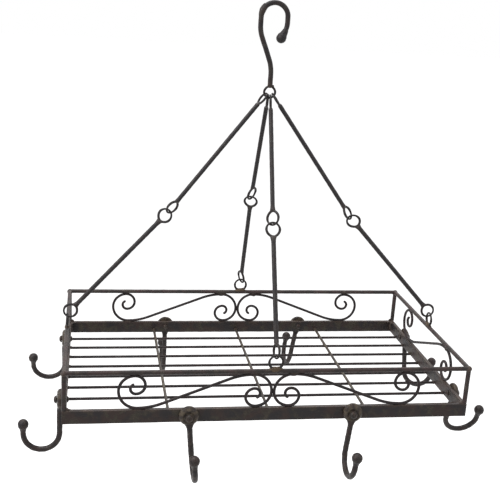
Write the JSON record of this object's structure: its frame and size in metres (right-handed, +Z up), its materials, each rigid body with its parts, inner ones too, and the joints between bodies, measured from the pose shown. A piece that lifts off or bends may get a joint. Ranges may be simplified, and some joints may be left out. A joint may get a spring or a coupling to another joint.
{
  "type": "hanging pot rack",
  "caption": "wrought iron pot rack with scrollwork sides, wire floor and riveted pan hooks, hung from one ceiling hook by four linked rod chains",
  "frame": {"origin": "seat under the crook of the ceiling hook, where the rack hangs from the ceiling eye", "axes": "+Z up, +X right along the long side of the tray, +Y to the back"},
  "size_m": [0.737, 0.485, 0.6865],
  "materials": {
    "hook_iron": "forged wrought iron, black-brown rubbed finish",
    "rod_iron": "round iron rod, dark bronze-black finish",
    "ring_iron": "round iron wire rings, dark bronze-black finish, welded",
    "bar_iron": "round and flat iron bar, aged dark brown finish",
    "wire_iron": "iron wire, dark brown finish",
    "rivet_iron": "hammered iron rivets, black-brown finish"
  },
  "bodies": {
    "hook": {"ceiling_hook": "hook_iron", "hook_ring": "ring_iron"},
    "upper_front": {"upper_rod_front": "rod_iron", "upper_rings_front": "ring_iron"},
    "lower_front": {"lower_rod_front": "rod_iron", "lower_rings_front": "ring_iron"},
    "upper_back": {"upper_rod_back": "rod_iron", "upper_rings_back": "ring_iron"},
    "lower_back": {"lower_rod_back": "rod_iron", "lower_rings_back": "ring_iron"},
    "upper_left": {"upper_rod_left": "rod_iron", "upper_rings_left": "ring_iron"},
    "lower_left": {"lower_rod_left": "rod_iron", "lower_rings_left": "ring_iron"},
    "upper_right": {"upper_rod_right": "rod_iron", "upper_rings_right": "ring_iron"},
    "lower_right": {"lower_rod_right": "rod_iron", "lower_rings_right": "ring_iron"},
    "tray": {"tray_ring_front": "ring_iron", "rail_front": "bar_iron", "bar_front": "bar_iron", "tray_ring_back": "ring_iron", "rail_back": "bar_iron", "bar_back": "bar_iron", "tray_ring_left": "ring_iron", "rail_left": "bar_iron", "bar_left": "bar_iron", "tray_ring_right": "ring_iron", "rail_right": "bar_iron", "bar_right": "bar_iron", "corner_post_front_left": "bar_iron", "scroll_front_left": "wire_iron", "corner_post_front_right": "bar_iron", "scroll_front_right": "wire_iron", "corner_post_back_left": "bar_iron", "scroll_back_left": "wire_iron", "corner_post_back_right": "bar_iron", "scroll_back_right": "wire_iron", "scroll_left": "wire_iron", "scroll_right": "wire_iron", "long_wire_1": "wire_iron", "long_wire_2": "wire_iron", "long_wire_3": "wire_iron", "long_wire_4": "wire_iron", "long_wire_5": "wire_iron", "long_wire_6": "wire_iron", "long_wire_7": "wire_iron", "long_wire_8": "wire_iron", "cross_wire_1": "wire_iron", "cross_wire_2": "wire_iron", "cross_wire_3": "wire_iron", "hook_rivets": "rivet_iron"},
    "pan_hook_front_left": {"pan_hook_front_left": "hook_iron"},
    "pan_hook_front_right": {"pan_hook_front_right": "hook_iron"},
    "pan_hook_back_left": {"pan_hook_back_left": "hook_iron"},
    "pan_hook_back_right": {"pan_hook_back_right": "hook_iron"},
    "pan_hook_left_front": {"pan_hook_left_front": "hook_iron"},
    "pan_hook_left_back": {"pan_hook_left_back": "hook_iron"},
    "pan_hook_right_front": {"pan_hook_right_front": "hook_iron"},
    "pan_hook_right_back": {"pan_hook_right_back": "hook_iron"}
  },
  "joints": [
    {"name": "front_top_link", "type": "hinge", "parent": "hook", "child": "upper_front", "pos_m": [0.002, 0, -0.13626], "axis": [1, 0, 0], "range_deg": [0, 15]},
    {"name": "front_middle_link", "type": "hinge", "parent": "upper_front", "child": "lower_front", "pos_m": [0.002, -0.08237, -0.31104], "axis": [1, 0, 0], "range_deg": [-32.41, 0]},
    {"name": "front_tray_link", "type": "hinge", "parent": "lower_front", "child": "tray", "pos_m": [0.002, -0.17383, -0.4861], "axis": [1, 0, 0], "range_deg": [0, 17.38]},
    {"name": "back_top_link", "type": "hinge", "parent": "hook", "child": "upper_back", "pos_m": [-0.002, 0, -0.13626], "axis": [1, 0, 0], "range_deg": [-15.46, 0]},
    {"name": "back_tray_link", "type": "hinge", "parent": "tray", "child": "lower_back", "pos_m": [0.0045, 0.17383, -0.4861], "axis": [1, 0, 0], "range_deg": [0, 17.42]},
    {"name": "left_top_link", "type": "hinge", "parent": "hook", "child": "upper_left", "pos_m": [-0.00449, 0, -0.13019], "axis": [0, 1, 0], "range_deg": [-10.35, 0]},
    {"name": "left_tray_link", "type": "hinge", "parent": "tray", "child": "lower_left", "pos_m": [-0.29983, 0, -0.4861], "axis": [0, 1, 0], "range_deg": [0, 13.68]},
    {"name": "right_top_link", "type": "hinge", "parent": "hook", "child": "upper_right", "pos_m": [0.00449, 0, -0.13019], "axis": [0, 1, 0], "range_deg": [0, 7.64]},
    {"name": "right_tray_link", "type": "hinge", "parent": "tray", "child": "lower_right", "pos_m": [0.29983, 0, -0.4861], "axis": [0, 1, 0], "range_deg": [-11.29, 0]},
    {"name": "pan_hook_front_left_swing", "type": "hinge", "parent": "tray", "child": "pan_hook_front_left", "pos_m": [-0.12241, -0.177, -0.577], "axis": [0, 1, 0], "range_deg": [-49.5, 60.5]},
    {"name": "pan_hook_front_right_swing", "type": "hinge", "parent": "tray", "child": "pan_hook_front_right", "pos_m": [0.12241, -0.177, -0.577], "axis": [0, 1, 0], "range_deg": [-60.5, 49.5]},
    {"name": "pan_hook_back_left_swing", "type": "hinge", "parent": "tray", "child": "pan_hook_back_left", "pos_m": [-0.12908, 0.177, -0.577], "axis": [0, 1, 0], "range_deg": [-55, 55]},
    {"name": "pan_hook_back_right_swing", "type": "hinge", "parent": "tray", "child": "pan_hook_back_right", "pos_m": [0.11817, 0.177, -0.577], "axis": [0, 1, 0], "range_deg": [-63, 47]},
    {"name": "pan_hook_left_front_swing", "type": "hinge", "parent": "tray", "child": "pan_hook_left_front", "pos_m": [-0.303, -0.11717, -0.577], "axis": [1, 0, 0], "range_deg": [-55, 55]},
    {"name": "pan_hook_left_back_swing", "type": "hinge", "parent": "tray", "child": "pan_hook_left_back", "pos_m": [-0.303, 0.11717, -0.577], "axis": [1, 0, 0], "range_deg": [-68, 42]},
    {"name": "pan_hook_right_front_swing", "type": "hinge", "parent": "tray", "child": "pan_hook_right_front", "pos_m": [0.303, -0.11717, -0.577], "axis": [1, 0, 0], "range_deg": [-73, 37]},
    {"name": "pan_hook_right_back_swing", "type": "hinge", "parent": "tray", "child": "pan_hook_right_back", "pos_m": [0.303, 0.11717, -0.577], "axis": [1, 0, 0], "range_deg": [-42, 68]}
  ],
  "couplings": [
    {"joint": "front_middle_link", "follows": "front_top_link", "ratio": -2.1566},
    {"joint": "front_tray_link", "follows": "front_top_link", "ratio": 1.1566},
    {"joint": "back_top_link", "follows": "front_top_link", "ratio": -1.0286},
    {"joint": "back_tray_link", "follows": "front_top_link", "ratio": 1.1587},
    {"joint": "left_top_link", "follows": "front_top_link", "ratio": -0.6889},
    {"joint": "left_tray_link", "follows": "front_top_link", "ratio": 0.9103},
    {"joint": "right_top_link", "follows": "front_top_link", "ratio": 0.5084},
    {"joint": "right_tray_link", "follows": "front_top_link", "ratio": -0.751}
  ]
}
